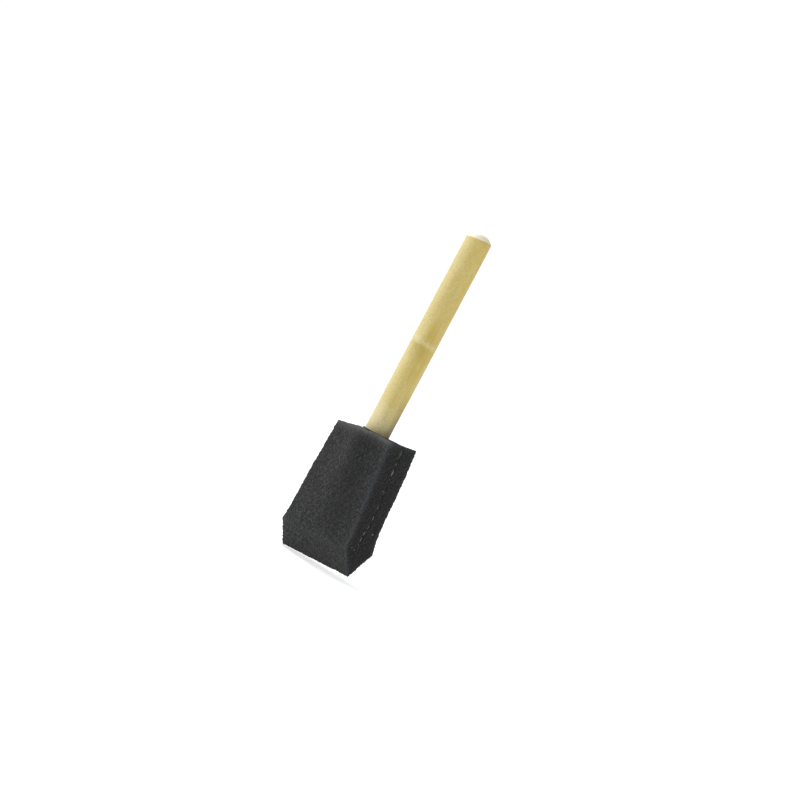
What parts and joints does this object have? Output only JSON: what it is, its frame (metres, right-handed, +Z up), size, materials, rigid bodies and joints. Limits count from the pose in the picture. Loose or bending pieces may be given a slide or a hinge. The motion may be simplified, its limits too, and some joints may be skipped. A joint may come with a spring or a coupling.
{
  "type": "foam paint brush",
  "caption": "Small foam paint brush with a round bamboo handle and a charcoal foam head cut to a chisel edge.",
  "frame": {"origin": "middle of the chisel edge, the lowest line of the foam head", "axes": "+Z up along the handle from the chisel edge to the domed end; +X along the chisel edge, across the head's width; -Y towards the front broad face of the head, +Y towards its back"},
  "size_m": [0.0508, 0.02, 0.1848],
  "materials": {
    "bamboo": "satin",
    "plastic": "satin",
    "foam": "matte",
    "adhesive": "satin"
  },
  "bodies": {
    "root": {"handle": "bamboo", "stiffener": "plastic", "foam_head": "foam", "glue_seam_right": "adhesive", "glue_seam_left": "adhesive"}
  },
  "joints": []
}
